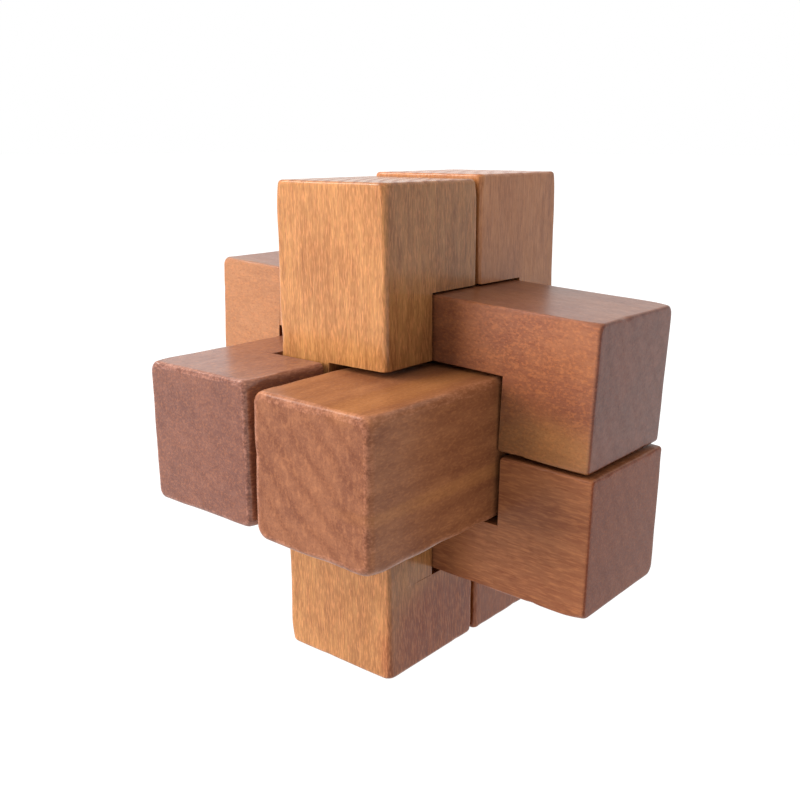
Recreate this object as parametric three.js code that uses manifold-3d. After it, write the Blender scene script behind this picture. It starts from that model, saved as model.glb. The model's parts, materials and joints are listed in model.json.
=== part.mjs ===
// Wooden burr puzzle: six square sticks that cross in three pairs and lock together.
// Two sticks stand upright, two lie crosswise and two lie front to back. Five of them
// are notched to half their thickness. The sixth, the key, is a plain stick: it slides
// out endways, and then the others can be taken apart one by one.
//
// Millimetres, +Z up. The puzzle stands on the feet of its two uprights at Z = 0, and
// the Z axis runs up its middle. +X is to the right and -Y is the front.

import * as THREE from 'three';
import Module from 'manifold-3d';
import { RoundedBoxGeometry } from 'three/addons/geometries/RoundedBoxGeometry.js';
import { mergeVertices } from 'three/addons/utils/BufferGeometryUtils.js';

const wasm = await Module();
wasm.setup();

// Driving dimensions.
const STICK_LENGTH = 70;
const REAR_UPRIGHT_LENGTH = 70.6; // sawn a little longer than the rest
const CROSSBAR_HEIGHT = 19.8;     // the crossbars are sanded thinner than the rest
const CELL = 10.25;               // half the pitch of the sticks: each fills 2 x 2 cells
const STICK_GAP = 0.3;            // room between two neighbouring sticks
const NOTCH_FIT = 0.3;            // room on each face of a notch
const SHARP_EDGE = 0.7;           // edge radius of the uprights and the crossbars
const EASED_EDGE = 1.2;           // edge radius of the left bar
const WORN_EDGE = 2.0;            // edge radius of the key, which is handled most
const UPPER_LEAN = 2.8;           // degrees that the upper crossbar dips to the right
const EDGE_STEPS = 2;             // facets across a rounded edge
const SATIN_ROUGHNESS = 0.45;     // of the lacquered wood

const STICK_WIDTH = 2 * CELL - STICK_GAP;
const CROSSING_HEIGHT = STICK_LENGTH / 2;
const WELD_DISTANCE = 1e-4;

// The sticks. centre is the middle of the stick in cells from the middle of the crossing.
// shift is how far, in millimetres, the stick sits from there, and lean how many degrees
// it is turned about X, Y and Z, because the puzzle is worn and fits loosely. Each notch
// is a box between two corners, in cells from the middle of the crossing; a side that is
// open runs past the stick. low and high are what the notch is wider, in millimetres,
// towards -X, -Y, -Z and towards +X, +Y, +Z, where a neighbour leans or sits off centre;
// a minus makes it narrower. slope turns a notch about Y, in degrees, about the middle of
// its upper wall, where it is worn to the lean of the crossbar in it.
const STICKS = [
  {
    name: 'front_upright',
    along: 'z',
    edge: SHARP_EDGE,
    colour: 0xc08a58,
    centre: [0, -1, 0],
    shift: [-0.2, 0.1, 0],
    lean: [0, 0, 0],
    notches: [
      { from: [-2, -1, 1], to: [2, 1, 2], high: [0, 0, -0.25], slope: UPPER_LEAN },
      { from: [-2, -1, -2], to: [2, 1, -1], low: [0, 0, 0.85] },
      { from: [0, -3, -1], to: [2, 1, 1], low: [0.1, 0, 0.5] },
    ],
  },
  {
    name: 'rear_upright',
    along: 'z',
    edge: SHARP_EDGE,
    colour: 0x9f7058,
    length: REAR_UPRIGHT_LENGTH,
    centre: [0, 1, 0],
    shift: [0, 0.1, (REAR_UPRIGHT_LENGTH - STICK_LENGTH) / 2],
    lean: [0, 0, 0],
    notches: [
      { from: [-2, -1, 1], to: [2, 1, 2], high: [0, 0, -0.55], slope: UPPER_LEAN },
      { from: [-2, -1, -2], to: [2, 1, -1], low: [0, 0, 1.15] },
      { from: [0, -1, -1], to: [2, 3, 1], low: [0.3, 0, 0.8] },
    ],
  },
  {
    name: 'upper_crossbar',
    along: 'x',
    height: CROSSBAR_HEIGHT,
    edge: SHARP_EDGE,
    colour: 0xab6f42,
    centre: [0, 0, 1],
    shift: [0.2, 0.15, 0.05],
    lean: [0, UPPER_LEAN, 0],
    notches: [{ from: [-2, -2, -1], to: [2, 2, 1], low: [0.9, 0, 0], high: [0.3, 0, 0.3] }],
  },
  {
    name: 'lower_crossbar',
    along: 'x',
    height: CROSSBAR_HEIGHT,
    edge: SHARP_EDGE,
    colour: 0x8f5f47,
    centre: [0, 0, -1],
    shift: [0.3, -0.05, -0.45],
    lean: [0, 1.5, 0],
    notches: [{ from: [-2, -2, -1], to: [2, 2, 1], low: [1.1, 0, -0.3] }],
  },
  {
    name: 'left_bar',
    along: 'y',
    edge: EASED_EDGE,
    colour: 0xa5735f,
    centre: [-1, 0, 0],
    shift: [-0.5, 0, 0.45],
    lean: [0, 0, -0.8],
    notches: [{ from: [-1, -2, -2], to: [1, 2, 2], low: [0.2, 0, 0], high: [0, 0.2, 0] }],
  },
  {
    name: 'key_bar',
    along: 'y',
    edge: WORN_EDGE,
    colour: 0xb0784f,
    centre: [1, 0, 0],
    shift: [0.1, -0.6, -0.45],
    lean: [0, 1, 0],
    notches: [],
  },
];

// A closed three.js geometry as a solid that can be cut.
function toSolid(geometry) {
  geometry.deleteAttribute('normal');
  geometry.deleteAttribute('uv');
  const welded = mergeVertices(geometry, WELD_DISTANCE);
  return new wasm.Manifold(
    new wasm.Mesh({
      numProp: 3,
      vertProperties: welded.attributes.position.array,
      triVerts: new Uint32Array(welded.index.array),
    }),
  );
}

// The solid's triangles as a three.js geometry with flat faces.
function toGeometry(solid) {
  const mesh = solid.getMesh();
  const indexed = new THREE.BufferGeometry();
  indexed.setAttribute('position', new THREE.BufferAttribute(mesh.vertProperties, 3));
  indexed.setIndex(new THREE.BufferAttribute(mesh.triVerts, 1));
  const flat = indexed.toNonIndexed();
  flat.computeVertexNormals();
  return flat;
}

// The stick before it is notched: a square bar with all its edges and corners rounded.
function blank(stick) {
  const length = stick.length ?? STICK_LENGTH;
  const height = stick.height ?? STICK_WIDTH;
  const size = { x: STICK_WIDTH, y: STICK_WIDTH, z: height, [stick.along]: length };
  return toSolid(new RoundedBoxGeometry(size.x, size.y, size.z, EDGE_STEPS, stick.edge));
}

// The wood that one notch takes away, in the stick's own frame.
function notchCut(stick, notch) {
  const low = new THREE.Vector3(...(notch.low ?? [0, 0, 0])).addScalar(NOTCH_FIT);
  const high = new THREE.Vector3(...(notch.high ?? [0, 0, 0])).addScalar(NOTCH_FIT);
  const box = new THREE.Box3(new THREE.Vector3(...notch.from), new THREE.Vector3(...notch.to));
  box.translate(new THREE.Vector3(...stick.centre).negate());
  box.min.multiplyScalar(CELL).sub(low);
  box.max.multiplyScalar(CELL).add(high);
  const size = box.getSize(new THREE.Vector3());
  const middle = box.getCenter(new THREE.Vector3());
  const geometry = new THREE.BoxGeometry(size.x, size.y, size.z);
  geometry.translate(0, 0, -size.z / 2);
  geometry.rotateY(THREE.MathUtils.degToRad(notch.slope ?? 0));
  geometry.translate(middle.x, middle.y, box.max.z);
  return toSolid(geometry);
}

function makeStick(stick) {
  const cuts = stick.notches.map((notch) => notchCut(stick, notch));
  const solid = cuts.reduce((wood, cut) => wood.subtract(cut), blank(stick));
  const material = new THREE.MeshStandardMaterial({
    color: stick.colour,
    roughness: SATIN_ROUGHNESS,
    metalness: 0,
  });
  const mesh = new THREE.Mesh(toGeometry(solid), material);
  mesh.name = stick.name;
  mesh.position.fromArray(stick.centre).multiplyScalar(CELL);
  mesh.position.add(new THREE.Vector3(...stick.shift));
  mesh.rotation.set(...stick.lean.map(THREE.MathUtils.degToRad));
  return mesh;
}

const puzzle = new THREE.Group();
puzzle.name = 'burr_puzzle';
puzzle.position.z = CROSSING_HEIGHT;
STICKS.forEach((stick) => puzzle.add(makeStick(stick)));

export default puzzle;
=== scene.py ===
"""A six-piece wooden burr puzzle: six worn, lacquered sticks in a white studio."""

import json
import math

import bpy
import numpy as np
from mathutils import Matrix, Vector


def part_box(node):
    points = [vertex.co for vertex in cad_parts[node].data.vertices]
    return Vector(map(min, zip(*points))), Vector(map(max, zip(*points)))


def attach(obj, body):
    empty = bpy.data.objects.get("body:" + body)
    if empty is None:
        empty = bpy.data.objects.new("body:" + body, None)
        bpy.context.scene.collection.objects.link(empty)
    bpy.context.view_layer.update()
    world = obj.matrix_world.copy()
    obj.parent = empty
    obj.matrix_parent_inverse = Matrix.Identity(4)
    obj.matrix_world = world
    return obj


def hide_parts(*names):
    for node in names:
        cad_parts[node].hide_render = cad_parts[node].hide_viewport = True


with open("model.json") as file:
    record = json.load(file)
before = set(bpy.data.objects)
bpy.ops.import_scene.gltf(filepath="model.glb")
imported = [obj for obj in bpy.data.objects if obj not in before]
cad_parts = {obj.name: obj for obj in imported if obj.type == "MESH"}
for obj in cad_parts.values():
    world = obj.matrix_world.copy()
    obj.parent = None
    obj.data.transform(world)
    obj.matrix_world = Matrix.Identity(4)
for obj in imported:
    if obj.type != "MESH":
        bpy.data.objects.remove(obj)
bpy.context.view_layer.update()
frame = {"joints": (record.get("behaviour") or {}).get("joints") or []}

# Sizes in metres. The sticks' own sizes come from the frame.
MM = 0.001
FRONT_LOW, FRONT_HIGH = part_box("front_upright")
STICK_LENGTH = FRONT_HIGH.z - FRONT_LOW.z
STICK_WIDTH = FRONT_HIGH.x - FRONT_LOW.x
REAR_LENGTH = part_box("rear_upright")[1].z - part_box("rear_upright")[0].z
CROSSBAR_HEIGHT = 19.8 * MM
END_SANDING = 0.02 * MM     # what a leaning stick loses at each end
STICK_GAP = 0.3 * MM
CELL = (STICK_WIDTH + STICK_GAP) / 2
NOTCH_FIT = 0.3 * MM
KEY_ROLL = math.radians(1.0)

# The mesh.
STATION_STEP = 0.5 * MM
END_REACH = 3.5 * MM        # how far the rounder corners reach along a stick
END_STATIONS = 18
SIDE_POINTS = 36
ARC_POINTS = 9
CAP_RINGS = 20
WALL = 0.004 * MM           # what a notch wall leans, so that no two stations coincide
SAWN_EDGE = 0.15 * MM       # edge radius where a saw has cut
ARRIS_STEPS = 5
SLOPE_REACH = 4 * MM        # how far from a sloping notch wall the stations lean with it
UNEVEN = 0.05 * MM          # how deep the sanded faces dip
HILL_LENGTHS = (9 * MM, 30 * MM)
HILL_SKEW = 1.7             # how far the hills on the faces run off the stick's length
WEAR_FADE = 0.25 * MM       # how fast wear fades away from an edge
SHARP_ANGLE = math.radians(40)

# How far the radius of a worn edge strays from its own, as a share of it, and over what
# lengths; and the knocks in it: how many, how wide and how deep.
EDGE_WANDER = 0.3
EDGE_WANDER_LENGTHS = (5 * MM, 22 * MM)
EDGE_KNOCKS = (3, 1.4 * MM, 0.25 * MM)
RIM_WANDER = 0.2
RIM_WANDER_LENGTHS = (4 * MM, 15 * MM)
RIM_KNOCKS = (4, 1.2 * MM, 0.2 * MM)

AXES = "xyz"

# Which way each stick runs, and the radii of its edges in millimetres: along its length,
# around its ends, and where its four long edges, anticlockwise from +u +v, reach its ends.
STICKS = {
    "front_upright": {"along": "z", "edge": 0.7, "rim": 0.6, "corners": (1.4, 1.4, 1.4, 1.4)},
    "rear_upright": {"along": "z", "edge": 0.5, "rim": 0.5, "corners": (1.1, 1.1, 1.1, 1.1)},
    "upper_crossbar": {"along": "x", "edge": 0.4, "rim": 0.45, "corners": (1.4, 1.4, 0.7, 0.7)},
    "lower_crossbar": {"along": "x", "edge": 0.4, "rim": 0.45, "corners": (0.7, 0.7, 1.6, 1.6)},
    "left_bar": {"along": "y", "edge": 0.7, "rim": 0.7, "corners": (1.6, 1.6, 1.6, 1.6)},
    "key_bar": {"along": "y", "edge": 1.1, "rim": 1.0, "corners": (2.1, 2.1, 2.1, 2.1)},
}

# The notches: the side cut away, the cells along the stick, counted from its middle, where
# the cut starts and ends, and the further room in millimetres at its start, end and floor.
# An upright's top notch comes first.
NOTCHES = {
    "front_upright": [
        {"side": "+y", "cells": (1, 2), "room": (0, -0.25, 0)},
        {"side": "+y", "cells": (-2, -1), "room": (0.85, 0, 0)},
        {"side": "+x", "cells": (-1, 1), "room": (0.5, 0, 0.1)},
    ],
    "rear_upright": [
        {"side": "-y", "cells": (1, 2), "room": (0, -0.55, 0)},
        {"side": "-y", "cells": (-2, -1), "room": (1.15, 0, 0)},
        {"side": "+x", "cells": (-1, 1), "room": (0.8, 0, 0.3)},
    ],
    "upper_crossbar": [{"side": "-z", "cells": (-2, 2), "room": (0.9, 0.3, 0.3)}],
    "lower_crossbar": [{"side": "+z", "cells": (-2, 2), "room": (1.1, 0, -0.3)}],
    "left_bar": [{"side": "+x", "cells": (-2, 2), "room": (0, 0.2, 0.2)}],
    "key_bar": [],
}


# ---------------------------------------------------------------- stick shapes


def stick_turn(name):
    """The stick's lean as a 3 x 3 matrix: the least turn from its axis to its joint's axis."""
    along = Vector([float(axis == STICKS[name]["along"]) for axis in AXES])
    if name == "key_bar":
        return Matrix.Rotation(KEY_ROLL, 3, along)
    for joint in frame["joints"]:
        if joint["child"] == name:
            return along.rotation_difference(Vector(joint["axis"])).to_matrix()
    return Matrix.Identity(3)


def stick_frame(name):
    """The stick's middle, and a matrix whose columns are its length, its u side and its v side."""
    low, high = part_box(name)
    first = AXES.index(STICKS[name]["along"])
    order = [first, (first + 1) % 3, (first + 2) % 3]
    turn = np.array(stick_turn(name))
    return np.array((low + high) / 2), turn[:, order]


def ripple(values, rng, shortest, longest, waves=5):
    """A smooth wandering line from -1 to 1: the mean of a few sines of random length and phase."""
    lengths = rng.uniform(shortest, longest, waves)
    phases = rng.uniform(0, 2 * math.pi, waves)
    return np.sin(2 * math.pi * values[..., None] / lengths + phases).mean(axis=-1)


def dents(values, rng, count, reach, deepest):
    """Small knocks at random places: a sum of bell curves of random depth and width."""
    places = rng.uniform(values.min(), values.max(), count)
    widths = rng.uniform(0.4, 1.0, count) * reach
    depths = rng.uniform(0.3, 1.0, count) * deepest
    return (depths * np.exp(-(((values[..., None] - places) / widths) ** 2))).sum(axis=-1)


def half_size(name):
    """Half the stick's length, and half its thickness in the direction of each axis."""
    length = REAR_LENGTH if name == "rear_upright" else STICK_LENGTH
    if "upright" not in name:
        length -= 2 * END_SANDING
    halves = {axis: STICK_WIDTH / 2 for axis in AXES}
    if "crossbar" in name:
        halves["z"] = CROSSBAR_HEIGHT / 2
    return length / 2, halves


def side_line(name, side, half_width, half_length):
    """The stick's surface on one side as a line of (place along the stick, height) points.

    It runs at half the width, drops down a wall to the floor of each notch and comes back
    up, and a quarter circle eases the arris at the top of each wall.
    """
    swing = np.linspace(0, math.pi / 2, ARRIS_STEPS)
    line = [(-half_length, half_width)]
    cuts = [cut for cut in NOTCHES[name] if cut["side"] == side]
    for cut in sorted(cuts, key=lambda cut: cut["cells"]):
        start, end = cut["cells"]
        before, after, deeper = cut["room"]
        first = start * CELL - NOTCH_FIT - before * MM
        last = end * CELL + NOTCH_FIT + after * MM
        floor = -NOTCH_FIT - deeper * MM
        drop = SAWN_EDGE * (1 - np.cos(swing))
        reach = SAWN_EDGE * (1 - np.sin(swing))
        line += zip(first - reach, half_width - drop)
        line += [(first + WALL, floor), (last - WALL, floor)]
        line += zip((last + reach)[::-1], (half_width - drop)[::-1])
    line.append((half_length, half_width))
    return np.array(line)


def stations_of(lines, half_length):
    """Every place along the stick where a section is worked out: even steps, the points of
    the side lines, and steps that close up towards both ends with the square of a count."""
    even = np.arange(-half_length, half_length, STATION_STEP)
    near_end = half_length - END_REACH * np.linspace(0, 1, END_STATIONS) ** 2
    places = np.concatenate([even, near_end, -near_end] + [line[:, 0] for line in lines])
    return np.unique(np.round(places, 8))


def sections(limits, radii):
    """Rounded rectangles, one a station, as arrays of u and v, with the outward directions.

    limits holds each station's (+u, +v, -u, -v) side heights and radii its four corners'
    radii, anticlockwise from (+u, +v). Each section runs up the +u side, round the corner,
    back along +v, and so on, with points evenly spaced on each straight and at even
    angles on each quarter circle.
    """
    parts = []
    straight = (np.arange(SIDE_POINTS) + 0.5) / SIDE_POINTS
    arc = np.linspace(0, math.pi / 2, ARC_POINTS)
    for quarter in range(4):
        out, on = limits[:, quarter, None], limits[:, (quarter + 1) % 4, None]
        back = -limits[:, (quarter + 3) % 4, None]
        before = radii[:, (quarter + 3) % 4, None]
        after = radii[:, quarter, None]
        climb = back + before + (on - after - back - before) * straight
        side = np.stack([out + 0 * climb, climb, 1 + 0 * climb, 0 * climb], axis=-1)
        turned = np.stack(
            [
                out - after + after * np.cos(arc),
                on - after + after * np.sin(arc),
                np.cos(arc) + 0 * after,
                np.sin(arc) + 0 * after,
            ],
            axis=-1,
        )
        piece = np.concatenate([side, turned], axis=1)
        angle = quarter * math.pi / 2
        spin = np.array([[math.cos(angle), math.sin(angle)], [-math.sin(angle), math.cos(angle)]])
        parts.append(np.concatenate([piece[..., :2] @ spin, piece[..., 2:] @ spin], axis=-1))
    ring = np.concatenate(parts, axis=1)
    return ring[..., :2], ring[..., 2:]


def edge_closeness(limits, radii):
    """For each point of the sections, 1 on a rounded edge and less with distance from it."""
    parts = []
    straight = (np.arange(SIDE_POINTS) + 0.5) / SIDE_POINTS
    for quarter in range(4):
        span = limits[:, (quarter + 1) % 4, None] + limits[:, (quarter + 3) % 4, None]
        span = span - radii[:, (quarter + 3) % 4, None] - radii[:, quarter, None]
        away = np.minimum(straight, 1 - straight) * span
        parts += [np.exp(-away / WEAR_FADE), np.ones((len(limits), ARC_POINTS))]
    return np.concatenate(parts, axis=1)


def stick_surface(name, rng):
    """The worn stick as a grid of points: its sections carried along its length.

    Near an end the corner radius grows from the edge's to the corner's, and the whole
    section draws in by a quarter circle of the rim's radius, which wanders round the rim.
    Everywhere the surface dips inwards by a low ripple. Returns the places along the
    stick, the u and v of every point, and how close each point is to an edge.
    """
    shape = STICKS[name]
    half_length, halves = half_size(name)
    first = AXES.index(shape["along"])
    u_axis, v_axis = AXES[(first + 1) % 3], AXES[(first + 2) % 3]
    sides = ["+" + u_axis, "+" + v_axis, "-" + u_axis, "-" + v_axis]
    whole = np.array([halves[side[1]] for side in sides])
    lines = [side_line(name, side, halves[side[1]], half_length) for side in sides]
    places = stations_of(lines, half_length)
    limits = np.stack([np.interp(places, line[:, 0], line[:, 1]) for line in lines], axis=-1)

    to_end = half_length - np.abs(places)
    near_end = np.clip(1 - to_end / END_REACH, 0, 1) ** 2
    sawn = limits < whole - 2 * SAWN_EDGE
    radii = np.empty_like(limits)
    for corner in range(4):
        wander = 1 + EDGE_WANDER * ripple(places, rng, *EDGE_WANDER_LENGTHS)
        knocks = dents(places, rng, *EDGE_KNOCKS)
        worn = shape["edge"] * MM * wander + knocks
        worn = worn + (shape["corners"][corner] * MM - worn) * near_end
        cut = sawn[:, corner] | sawn[:, (corner + 1) % 4]
        radii[:, corner] = np.where(cut, SAWN_EDGE, worn)

    points, outward = sections(limits, radii)
    wear = edge_closeness(limits, radii)
    around = np.arange(points.shape[1]) * (4 * STICK_WIDTH / points.shape[1])
    for end in (-1, 1):
        rim = shape["rim"] * MM * (1 + RIM_WANDER * ripple(around, rng, *RIM_WANDER_LENGTHS))
        rim = rim + dents(around, rng, *RIM_KNOCKS)
        inside = np.clip(rim - to_end[:, None], 0, None) * (np.sign(places) == end)[:, None]
        draw_in = rim - np.sqrt(rim**2 - np.minimum(inside, rim) ** 2)
        points = points - outward * draw_in[..., None]
        closeness = np.exp(-np.clip(to_end[:, None] - rim, 0, None) / WEAR_FADE)
        wear = np.maximum(wear, closeness * (np.sign(places) == end)[:, None])

    low_hills = ripple(places[:, None] + HILL_SKEW * around, rng, *HILL_LENGTHS)
    dip = UNEVEN * (1 + low_hills) / 2
    return places, points - outward * dip[..., None], wear


def close_ends(places, points, wear):
    """Adds the two end faces: copies of the last section that shrink evenly to one point."""
    shrink = 1 - np.arange(1, CAP_RINGS) / CAP_RINGS
    grids, along, worn = [], [], []
    for end in (0, -1):
        middle = points[end].mean(axis=0)
        rings = middle + (points[end] - middle) * shrink[:, None, None]
        away = (1 - shrink)[:, None] * np.abs(points[end] - middle).max(axis=-1)
        fade = np.exp(-away / WEAR_FADE) * wear[end]
        order = slice(None, None, -1) if end == 0 else slice(None)
        grids.append(rings[order])
        worn.append(fade[order])
        along.append(np.full(len(shrink), places[end]))
    points = np.concatenate([grids[0], points, grids[1]])
    wear = np.concatenate([worn[0], wear, worn[1]])
    return np.concatenate([along[0], places, along[1]]), points, wear


def tube_faces(rings, around):
    """Quads between neighbouring rings, and a fan of triangles to the point at each end."""
    ring, spot = np.meshgrid(np.arange(rings - 1), np.arange(around), indexing="ij")
    here = ring * around + spot
    beside = ring * around + (spot + 1) % around
    quads = np.stack([here, beside, beside + around, here + around], axis=-1).reshape(-1, 4)
    spot = np.arange(around)
    beside = (spot + 1) % around
    first, last = rings * around, rings * around + 1
    base = (rings - 1) * around
    start = np.stack([beside, spot, np.full(around, first)], axis=-1)
    finish = np.stack([base + spot, base + beside, np.full(around, last)], axis=-1)
    return quads.tolist() + start.tolist() + finish.tolist()


def add_attribute(mesh, name, values):
    """Keeps one number a point in the mesh, for its material to read."""
    layer = mesh.attributes.new(name, "FLOAT", "POINT")
    layer.data.foreach_set("value", values.astype(np.float32).ravel())


def lean_of_upper_crossbar():
    """How much the upper crossbar drops for each metre to the right."""
    axis = next(joint["axis"] for joint in frame["joints"] if joint["child"] == "upper_crossbar")
    return axis[2] / axis[0]


def slope_top_wall(name, local):
    """Leans the upper wall of an upright's top notch to follow the crossbar in it.

    Points move along the stick by the crossbar's slope times their distance to the right,
    wholly at the wall and less and less, in a straight line, up to a set distance from it.
    """
    top_notch = NOTCHES[name][0]
    wall = top_notch["cells"][1] * CELL + NOTCH_FIT + top_notch["room"][1] * MM
    share = np.clip(1 - np.abs(local[:, 0] - wall) / SLOPE_REACH, 0, 1)
    local[:, 0] += share * lean_of_upper_crossbar() * local[:, 1]


def make_stick(name, seed):
    """One stick as a closed mesh, riding on its body in the place of its CAD node."""
    rng = np.random.default_rng(seed)
    places, points, wear = close_ends(*stick_surface(name, rng))
    rings, around = wear.shape
    along = np.repeat(places, around)[:, None]
    local = np.concatenate([along, points.reshape(-1, 2)], axis=1)
    local = np.concatenate([local, [[places[0], 0, 0], [places[-1], 0, 0]]])
    wear = np.concatenate([wear.ravel(), [0, 0]])
    if "upright" in name:
        slope_top_wall(name, local)
    middle, turn = stick_frame(name)
    mesh = bpy.data.meshes.new(name + "_wood")
    mesh.from_pydata(middle + local @ turn.T, [], tube_faces(rings, around))
    mesh.shade_smooth()
    mesh.set_sharp_from_angle(angle=SHARP_ANGLE)
    normals = np.empty(len(local) * 3, np.float32)
    mesh.vertex_normals.foreach_get("vector", normals)
    facing = np.abs(normals.reshape(-1, 3) @ turn[:, 0])
    add_attribute(mesh, "wear", wear)
    add_attribute(mesh, "end_grain", facing)
    piece = bpy.data.objects.new(name + "_wood", mesh)
    bpy.context.scene.collection.objects.link(piece)
    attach(piece, name)
    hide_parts(name)
    return piece


# ---------------------------------------------------------------- materials


# Sizes of the noises that all the woods share, in millimetres: along the wood and across it.
MOTTLE_SIZE = (16, 6)
CLOUD_SIZE = (3, 1.1)
FIBRE_SIZE = (5, 0.35)
RING_DRIFT_SIZE = (30, 7)
RING_DRIFT = 2.2 * MM       # how far the rings stray from true circles
RING_RUN = 0.02             # how much the rings change along the wood, beside across it
PATCH_RAGGEDNESS = 0.7
RELIEF_DEPTH = 0.06 * MM
SEED_STEP = 17.3            # how far apart in the noises the sticks are cut

# Where each mark starts to show, and where it shows fully.
SHOWS = {
    "end_grain": (0.45, 0.85),
    "tone": (0.36, 0.64),
    "fibres": (0.35, 0.7),
    "pores": (0.52, 0.72),
    "flecks": (0.45, 0.7),
    "specks": (0.46, 0.72),
    "rubbed": (0.42, 0.62),
    "outside_patch": (0.55, 1.1),
}


class Socket:
    """A node's output that adds Math nodes when it is used in an expression."""

    def __init__(self, shader, output):
        self.shader = shader
        self.output = output

    def math(self, operation, *terms):
        return self.shader.node("Math", {"operation": operation}, dict(enumerate(terms)))

    def __add__(self, other):
        return self.math("ADD", self, other)

    def __radd__(self, other):
        return self.math("ADD", other, self)

    def __sub__(self, other):
        return self.math("SUBTRACT", self, other)

    def __rsub__(self, other):
        return self.math("SUBTRACT", other, self)

    def __mul__(self, other):
        return self.math("MULTIPLY", self, other)

    def __rmul__(self, other):
        return self.math("MULTIPLY", other, self)

    def __pow__(self, other):
        return self.math("POWER", self, other)

    def sine(self):
        return self.math("SINE", self)


class Shader:
    """A material whose nodes are added one by one."""

    def __init__(self, name):
        self.material = bpy.data.materials.new(name)
        self.material.use_nodes = True
        self.tree = self.material.node_tree
        self.tree.nodes.clear()

    def node(self, kind, settings=None, sockets=None, output=0):
        """Adds a node of a kind, with its settings and the values or links of its sockets."""
        made = self.tree.nodes.new("ShaderNode" + kind)
        for key, value in (settings or {}).items():
            setattr(made, key, value)
        for key, value in (sockets or {}).items():
            if isinstance(value, Socket):
                self.tree.links.new(value.output, made.inputs[key])
            else:
                made.inputs[key].default_value = value
        return Socket(self, made.outputs[output]) if made.outputs else None

    def between(self, value, low, high):
        """0 below low, 1 above high and an S-curve in between."""
        settings = {"interpolation_type": "SMOOTHSTEP"}
        return self.node("MapRange", settings, {0: value, 1: low, 2: high})

    def mix(self, amount, base, over, blend="MIX"):
        """One colour over another by an amount from 0 to 1."""
        settings = {"data_type": "RGBA", "blend_type": blend, "clamp_factor": True}
        return self.node("Mix", settings, {0: amount, 6: base, 7: over}, output=2)

    def noise(self, place, size, shift, detail=2.0, roughness=0.5):
        """Noise with grains of a size given in millimetres: along the wood, and across it
        once or, where the two ways across differ, twice."""
        stretch = tuple(1 / (length * MM) for length in (size[0], size[1], size[-1]))
        scaled = self.node("VectorMath", {"operation": "MULTIPLY"}, {0: place, 1: stretch})
        away = (shift, 2 * shift, 3 * shift)
        moved = self.node("VectorMath", {"operation": "ADD"}, {0: scaled, 1: away})
        sockets = {"Vector": moved, "Scale": 1.0, "Detail": detail, "Roughness": roughness}
        return self.node("TexNoise", None, sockets)


def colour(red, green, blue):
    """A colour given as it looks on a screen, from 0 to 255, turned into linear light."""
    screen = np.array([red, green, blue]) / 255
    linear = np.where(screen <= 0.04045, screen / 12.92, ((screen + 0.055) / 1.055) ** 2.4)
    return (*linear.tolist(), 1.0)


def in_stick(shader, name):
    """The place in the wood in the stick's own frame: x along the grain, y and z across."""
    middle, turn = stick_frame(name)
    place = shader.node("TexCoord", output="Object")
    angles = Matrix(turn.tolist()).to_euler()
    sockets = {"Vector": place, "Location": tuple(middle), "Rotation": tuple(angles)}
    return shader.node("Mapping", {"vector_type": "TEXTURE"}, sockets)


def year_rings(shader, place, finish, seed):
    """Growth rings: a wave of the distance from the pith, drawn off line by slow noise."""
    across = finish["pith"]
    offset = (0.0, across[0] * MM, across[1] * MM)
    flat = shader.node("VectorMath", {"operation": "MULTIPLY"}, {0: place, 1: (RING_RUN, 1, 1)})
    ends = {0: flat, 1: offset}
    from_pith = shader.node("VectorMath", {"operation": "DISTANCE"}, ends, output="Value")
    drift = shader.noise(place, RING_DRIFT_SIZE, seed + 5.1)
    phase = (from_pith + RING_DRIFT * drift) * (2 * math.pi / (finish["ring"] * MM))
    wave = 0.5 + 0.5 * phase.sine()
    return wave**2


def patch_mask(shader, place, patch, wobble):
    """A soft-edged egg-shaped area in the wood, its edge broken up by noise."""
    centre = tuple(value * MM for value in patch["centre"])
    size = tuple(1 / (value * MM) for value in patch["size"])
    away = shader.node("VectorMath", {"operation": "SUBTRACT"}, {0: place, 1: centre})
    scaled = shader.node("VectorMath", {"operation": "MULTIPLY"}, {0: away, 1: size})
    distance = shader.node("VectorMath", {"operation": "LENGTH"}, {0: scaled}, output="Value")
    ragged = distance + PATCH_RAGGEDNESS * (wobble - 0.5)
    return patch["amount"] * (1 - shader.between(ragged, *SHOWS["outside_patch"]))


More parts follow.
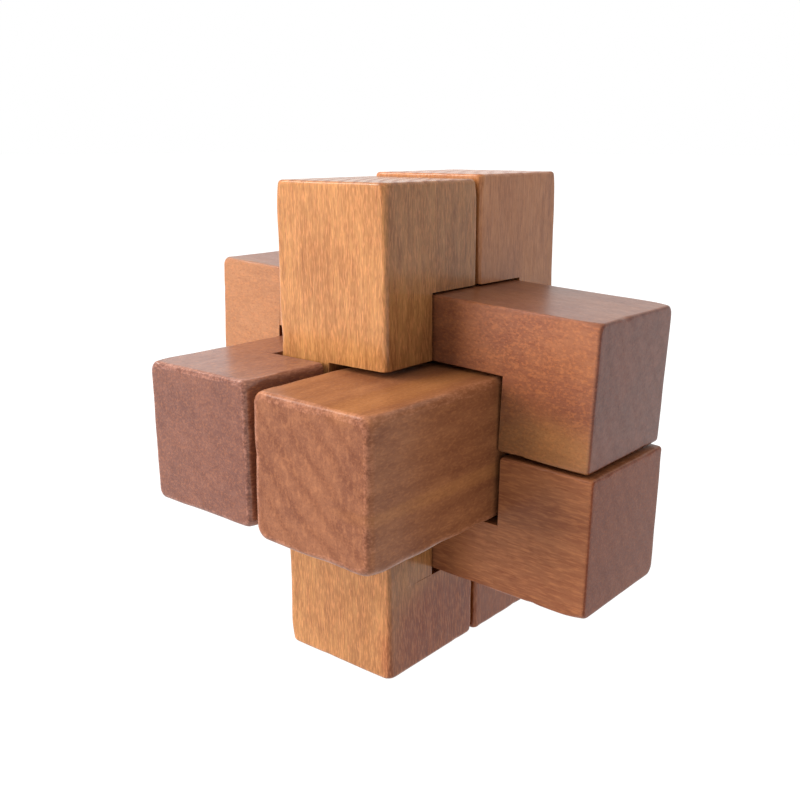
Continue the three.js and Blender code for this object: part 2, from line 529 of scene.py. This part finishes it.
def wood(name, finish, seed):
    """Lacquered wood: slow changes of tone, patches of another colour (stains, and also
    painted shade and painted light), growth rings, fibres and pores drawn out along the
    grain, pale flecks, end grain with a tint and specks of its own (the tint partly a
    painted grey sheen), and edges rubbed by handling. A low relief of the same marks lies on it."""
    shader = Shader(name + "_lacquered_wood")
    place = in_stick(shader, name)
    wear = shader.node("Attribute", {"attribute_name": "wear"}, None, "Fac")
    end = shader.node("Attribute", {"attribute_name": "end_grain"}, None, "Fac")
    end = shader.between(end, *SHOWS["end_grain"])
    side = 1 - end

    mottle = shader.noise(place, MOTTLE_SIZE, seed, detail=3)
    clouds = shader.noise(place, CLOUD_SIZE, seed + 1.3, detail=3, roughness=0.6)
    pores = shader.noise(place, finish["pore_size"], seed + 2.7, detail=2, roughness=0.6)
    flecks = shader.noise(place, finish["fleck_size"], seed + 3.9, detail=2)
    fibres = shader.noise(place, FIBRE_SIZE, seed + 4.6, detail=2)
    specks = shader.noise(place, finish["speck_size"], seed + 6.2, detail=3, roughness=0.6)
    rings = year_rings(shader, place, finish, seed)

    tone = shader.between(0.6 * mottle + 0.4 * clouds, *SHOWS["tone"])
    base = shader.mix(tone, finish["deep"], finish["pale"])
    # Patches of another colour: some are stains, others painted shade and painted light.
    for patch in finish.get("stains_and_painted_light_and_shade", []):
        base = shader.mix(patch_mask(shader, place, patch, mottle), base, patch["colour"])
    banding = rings * (finish["rings"] + end * finish["end_rings"])
    base = shader.mix(banding, base, finish["late"], "MULTIPLY")
    fibre_lines = shader.between(fibres, *SHOWS["fibres"]) * side * finish["streaks"]
    base = shader.mix(fibre_lines, base, finish["late"], "MULTIPLY")
    dark = shader.between(pores, *SHOWS["pores"]) * finish["pores"]
    base = shader.mix(dark, base, finish["pore"])
    bright = shader.between(flecks, *SHOWS["flecks"]) * finish["flecks"]
    base = shader.mix(bright, base, finish["fleck"])
    # The end-grain tint darkens the end grain, and also paints in the grey sheen of the lacquer on
    # the end faces; on the uprights it keeps the tops pale as a painted sheen.
    end_grain_and_painted_sheen = shader.mix(1.0, base, finish["end"], "MULTIPLY")
    blotches = shader.between(specks, *SHOWS["specks"]) * finish["specks"]
    end_grain_and_painted_sheen = shader.mix(blotches, end_grain_and_painted_sheen, finish["speck"])
    base = shader.mix(end, base, end_grain_and_painted_sheen)
    handled = wear * (0.5 * clouds + 0.5 * flecks)
    rubbed = shader.between(handled, *SHOWS["rubbed"]) * finish["rubbed"]
    base = shader.mix(rubbed, base, finish["worn"])

    relief = 0.6 * pores + 0.5 * specks + 0.35 * clouds + 0.5 * banding
    sockets = {"Height": relief, "Strength": finish["relief"], "Distance": RELIEF_DEPTH}
    bump = shader.node("Bump", None, sockets)
    roughness = 0.4 + 0.2 * clouds + 0.1 * specks
    lacquer = 0.75 + 0.6 * clouds - 0.4 * pores - 0.5 * end * banding
    skin = {
        "Base Color": base,
        "Roughness": roughness,
        "Normal": bump,
        "IOR": 1.35,
        "Specular IOR Level": 0.15,
        "Coat Weight": lacquer,
        "Coat Roughness": finish["haze"],
        "Coat IOR": finish["gloss"],
    }
    surface = shader.node("BsdfPrincipled", None, skin)
    shader.node("OutputMaterial", None, {"Surface": surface})
    return shader.material


# What the finishes share; a stick's own finish overrides it. Sizes are in millimetres,
# along the wood and across it, and the pith is off the stick's middle by the two numbers.
# Colours are those of the wood in the light of the white surroundings alone.
PLAIN_FINISH = {
    "pith": (60, 35),
    "ring": 3.2,
    "rings": 0.12,
    "end_rings": 0.0,
    "late": colour(170, 130, 115),
    "streaks": 0.3,
    "pores": 0.35,
    "pore_size": (1.3, 0.2),
    "pore": colour(84, 42, 24),
    "flecks": 0.2,
    "fleck_size": (0.8, 0.3),
    "fleck": colour(184, 120, 74),
    # End-grain tint: darker end grain, with a painted grey sheen in it.
    "end": colour(215, 200, 205),
    "specks": 0.2,
    "speck_size": (0.7, 0.5),
    "speck": colour(185, 125, 85),
    "rubbed": 0.14,
    "worn": colour(180, 128, 98),
    "relief": 0.5,
    "gloss": 1.3,
    "haze": 0.26,
}

FINISHES = {
    "front_upright": {
        "slot": "golden_wood",
        "deep": colour(124, 80, 42),
        "pale": colour(140, 96, 53),
        "pores": 0.5,
        "pore_size": (1.5, 0.14),
        "streaks": 0.35,
        "flecks": 0.35,
        "fleck_size": (1.2, 0.17),
        "ring": 1.8,
        "rings": 0.1,
        "end_rings": 0.6,
        # Painted sheen: the top left almost as pale as the side wood, for the white sheen on it.
        "end": colour(255, 245, 235),
        "worn": colour(176, 112, 76),
        "relief": 0.35,
        "gloss": 1.38,
        "haze": 0.19,
        "stains_and_painted_light_and_shade": [
            # Painted shade: the foot of the right face darkened, for the dimmer light low down
            # near the floor.
            {
                "centre": (-32, 13, 0),
                "size": (16, 7, 18),
                "amount": 0.85,
                "colour": colour(112, 42, 4),
            },
            # Painted shade: the front face darkened behind the gap between the left bar and the
            # key bar, where shadow falls.
            {
                "centre": (-1, -1, -10),
                "size": (12.5, 9, 7),
                "amount": 0.6,
                "colour": colour(78, 46, 26),
            },
        ],
    },
    "rear_upright": {
        "slot": "rosy_wood",
        "deep": colour(138, 85, 47),
        "pale": colour(154, 100, 58),
        "fleck_size": (1.2, 0.2),
        "ring": 2.2,
        "rings": 0.1,
        "end_rings": 0.4,
        # Painted sheen: the top left almost as pale as the side wood, for the white sheen on it.
        "end": colour(255, 245, 235),
        "relief": 0.35,
        "gloss": 1.38,
        "haze": 0.19,
        "stains_and_painted_light_and_shade": [
            # Painted shade: the foot of the right face darkened, for the dimmer light low down
            # near the floor.
            {
                "centre": (-32, 10, 0),
                "size": (16, 7, 18),
                "amount": 0.85,
                "colour": colour(112, 48, 10),
            },
        ],
    },
    "upper_crossbar": {
        "slot": "orange_wood",
        "deep": colour(101, 57, 38),
        "pale": colour(118, 71, 44),
        "streaks": 0.12,
        "pores": 0.35,
        "pore_size": (0.5, 0.25),
        "flecks": 0.2,
        "fleck_size": (0.45, 0.28),
        "fleck": colour(172, 104, 56),
        "end": colour(200, 152, 122),
        "specks": 0.08,
        "gloss": 1.4,
        "haze": 0.32,
        "worn": colour(120, 62, 44),
        "stains_and_painted_light_and_shade": [
            # Painted light: the left end of the front face made paler, for the brighter light
            # nearer the key light.
            {
                "centre": (-30, -10, 2),
                "size": (16, 3, 12),
                "amount": 0.35,
                "colour": colour(146, 104, 62),
            },
            {
                "centre": (29, -10, -11),
                "size": (13, 3, 8),
                "amount": 0.45,
                "colour": colour(142, 98, 50),
            },
            {
                "centre": (22, -10, -6),
                "size": (6, 3, 5),
                "amount": 0.4,
                "colour": colour(92, 62, 40),
            },
        ],
    },
    "lower_crossbar": {
        "slot": "brown_wood",
        "deep": colour(114, 66, 41),
        "pale": colour(126, 78, 49),
        "streaks": 0.18,
        "pores": 0.3,
        "fleck_size": (1.8, 0.22),
        "end": colour(208, 162, 118),
        "gloss": 1.22,
        "specks": 0.1,
        "worn": colour(130, 68, 48),
    },
    "left_bar": {
        "slot": "mauve_wood",
        "deep": colour(104, 64, 50),
        "pale": colour(119, 76, 58),
        # End-grain tint with a painted grey sheen in it.
        "end": colour(190, 176, 176),
        "gloss": 1.4,
        "streaks": 0.15,
        "specks": 0.06,
        "worn": colour(180, 130, 114),
    },
    "key_bar": {
        "slot": "banded_wood",
        "deep": colour(115, 69, 43),
        "pale": colour(134, 85, 53),
        "streaks": 0.12,
        "pores": 0.25,
        "pore_size": (0.9, 0.25),
        "flecks": 0.15,
        "fleck_size": (0.6, 0.3),
        # End-grain tint with a painted grey sheen in it.
        "end": colour(205, 200, 210),
        "gloss": 1.25,
        "specks": 0.11,
        "speck_size": (0.9, 1.5, 0.7),
        "pith": (50, 44),
        "rings": 0.2,
        "end_rings": 0.08,
        "ring": 3.4,
        "worn": colour(176, 120, 98),
        "stains_and_painted_light_and_shade": [
            {
                "centre": (0, -2.6, 10),
                "size": (60, 1.3, 9),
                "amount": 0.25,
                "colour": colour(152, 100, 52),
            },
            {
                "centre": (-22, 10, 5),
                "size": (22, 3, 3.5),
                "amount": 0.3,
                "colour": colour(156, 102, 52),
            },
        ],
    },
}


# ---------------------------------------------------------------- studio


LENS_IN_MM = 44.22
SENSOR_IN_MM = 36
TARGET = Vector((0, 0, 0.035))
CAMERA_DISTANCE = 0.1533
CAMERA_AZIMUTH = math.radians(38.69)
CAMERA_ELEVATION = math.radians(15.03)
CAMERA_SHIFT = (-0.0302, 0.0094)
CAMERA_NEAREST = 0.005
FLOOR_HALF = 6.0
FLOOR_DROP = 0.02 * MM      # keeps the floor off the feet that stand on it
FLOOR_GREY = 0.08
FLOOR_GLOW = 1.0


def aim(thing, direction, distance):
    """Puts a camera or a light at a distance from the target, looking at it."""
    towards = Vector(direction).normalized()
    thing.location = TARGET + towards * distance
    thing.rotation_euler = towards.to_track_quat("Z", "Y").to_euler()


def make_camera():
    """The scene's camera: low in front, to the right of the puzzle's middle."""
    data = bpy.data.cameras.new("camera")
    data.lens = LENS_IN_MM
    data.sensor_width = SENSOR_IN_MM
    data.shift_x, data.shift_y = CAMERA_SHIFT
    data.clip_start = CAMERA_NEAREST
    camera = bpy.data.objects.new("camera", data)
    level = math.cos(CAMERA_ELEVATION)
    direction = (
        math.sin(CAMERA_AZIMUTH) * level,
        -math.cos(CAMERA_AZIMUTH) * level,
        math.sin(CAMERA_ELEVATION),
    )
    aim(camera, direction, CAMERA_DISTANCE)
    bpy.context.scene.collection.objects.link(camera)
    bpy.context.scene.camera = camera


def make_light(name, direction, distance, size, relative, mirrored=True):
    """A square soft light, whose reflection shows in the lacquer if it is mirrored.

    relative is the light that it throws on a face turned to it, beside the light of the
    white surroundings, which is 1.
    """
    data = bpy.data.lights.new(name, "AREA")
    data.size = size
    data.energy = relative * (math.pi * distance) ** 2
    light = bpy.data.objects.new(name, data)
    light.visible_glossy = mirrored
    aim(light, direction, distance)
    bpy.context.scene.collection.objects.link(light)


def make_surroundings():
    """Even white light from all round, and colours shown as they are."""
    world = bpy.data.worlds.new("white_studio")
    world.use_nodes = True
    background = world.node_tree.nodes["Background"]
    background.inputs["Color"].default_value = (1, 1, 1, 1)
    background.inputs["Strength"].default_value = 1.0
    bpy.context.scene.world = world
    bpy.context.scene.view_settings.view_transform = "Standard"


def make_floor():
    """A plain white floor that glows a little, as a light table does."""
    turns = [(-1, -1), (1, -1), (1, 1), (-1, 1)]
    corners = [(FLOOR_HALF * x, FLOOR_HALF * y, -FLOOR_DROP) for x, y in turns]
    mesh = bpy.data.meshes.new("floor")
    mesh.from_pydata(corners, [], [(0, 1, 2, 3)])
    floor = bpy.data.objects.new("floor", mesh)
    bpy.context.scene.collection.objects.link(floor)
    shader = Shader("white_floor")
    skin = {
        "Base Color": (FLOOR_GREY, FLOOR_GREY, FLOOR_GREY, 1),
        "Roughness": 0.9,
        "Emission Color": (1, 1, 1, 1),
        "Emission Strength": FLOOR_GLOW,
    }
    surface = shader.node("BsdfPrincipled", None, skin)
    shader.node("OutputMaterial", None, {"Surface": surface})
    mesh.materials.append(shader.material)


make_surroundings()
make_camera()
make_floor()
make_light("soft_key", (-0.58, -0.7, 0.14), distance=0.4, size=0.34, relative=3.5, mirrored=False)
make_light("soft_top", (-0.4, -0.4, 0.82), distance=0.5, size=0.4, relative=0.75, mirrored=False)
make_light("window", (-0.6, -0.26, 0.75), distance=0.6, size=0.18, relative=0.3)

for seed, (name, finish) in enumerate(FINISHES.items(), start=1):
    stick = make_stick(name, seed)
    stick.data.materials.append(wood(name, {**PLAIN_FINISH, **finish}, seed * SEED_STEP))
